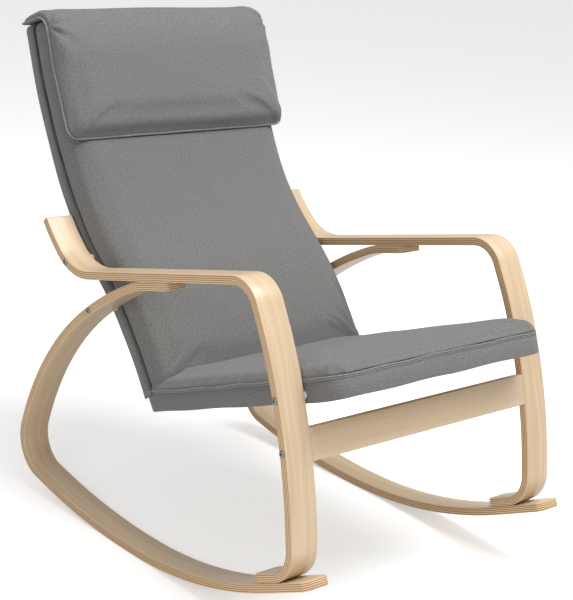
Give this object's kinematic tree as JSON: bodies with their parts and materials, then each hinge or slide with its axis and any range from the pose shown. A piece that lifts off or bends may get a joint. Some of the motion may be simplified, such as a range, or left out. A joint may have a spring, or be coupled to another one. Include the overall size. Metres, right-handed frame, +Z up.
{
  "type": "rocking chair",
  "caption": "Bent laminated wood rocking chair with open armrests on curved runners, a padded fabric seat and tall back, and a lift-up headrest pad.",
  "frame": {"origin": "on the floor, under the middle of the chair's plan outline, with the chair at rest on its runners", "axes": "+Z up, the sitter faces -Y, +X is the sitter's left"},
  "size_m": [0.6758, 1.0402, 1.0015],
  "materials": {
    "birch_ply": "satin",
    "frame_ply": "satin",
    "grey_fabric": "matte",
    "zinc_steel": "satin",
    "black_steel": "satin",
    "pale_nylon": "matte"
  },
  "bodies": {
    "chair": {"right_arm_leg": "birch_ply", "right_rocker": "birch_ply", "left_arm_leg": "birch_ply", "left_rocker": "birch_ply", "front_rail": "birch_ply", "right_frame_rail": "frame_ply", "left_frame_rail": "frame_ply", "seat_front_slat": "frame_ply", "seat_middle_slat": "frame_ply", "seat_rear_slat": "frame_ply", "back_lower_slat": "frame_ply", "back_middle_slat": "frame_ply", "back_top_slat": "frame_ply", "seat_cushion": "grey_fabric", "back_cushion": "grey_fabric", "right_tail_bolt": "zinc_steel", "right_tail_bolt_nut": "zinc_steel", "right_tail_bolt_spacer": "pale_nylon", "right_arc_bolt": "zinc_steel", "right_arc_bolt_nut": "zinc_steel", "right_arc_bolt_spacer": "pale_nylon", "right_seat_bolt": "zinc_steel", "right_seat_bolt_nut": "zinc_steel", "right_seat_bolt_spacer": "pale_nylon", "right_rail_bolt": "zinc_steel", "right_rail_bolt_nut": "zinc_steel", "left_tail_bolt": "zinc_steel", "left_tail_bolt_nut": "zinc_steel", "left_tail_bolt_spacer": "pale_nylon", "left_arc_bolt": "zinc_steel", "left_arc_bolt_nut": "zinc_steel", "left_arc_bolt_spacer": "pale_nylon", "left_seat_bolt": "zinc_steel", "left_seat_bolt_nut": "zinc_steel", "left_seat_bolt_spacer": "pale_nylon", "left_rail_bolt": "zinc_steel", "left_rail_bolt_nut": "zinc_steel", "right_arm_screw": "black_steel", "right_foot_screw_outer": "black_steel", "right_foot_screw_inner": "black_steel", "left_arm_screw": "black_steel", "left_foot_screw_outer": "black_steel", "left_foot_screw_inner": "black_steel"},
    "headrest": {"headrest_pad": "grey_fabric"}
  },
  "joints": [
    {"name": "headrest_lift", "type": "hinge", "parent": "chair", "child": "headrest", "pos_m": [0, 0.51715, 0.9491], "axis": [-1, 0, 0], "range_deg": [0, 150]}
  ]
}
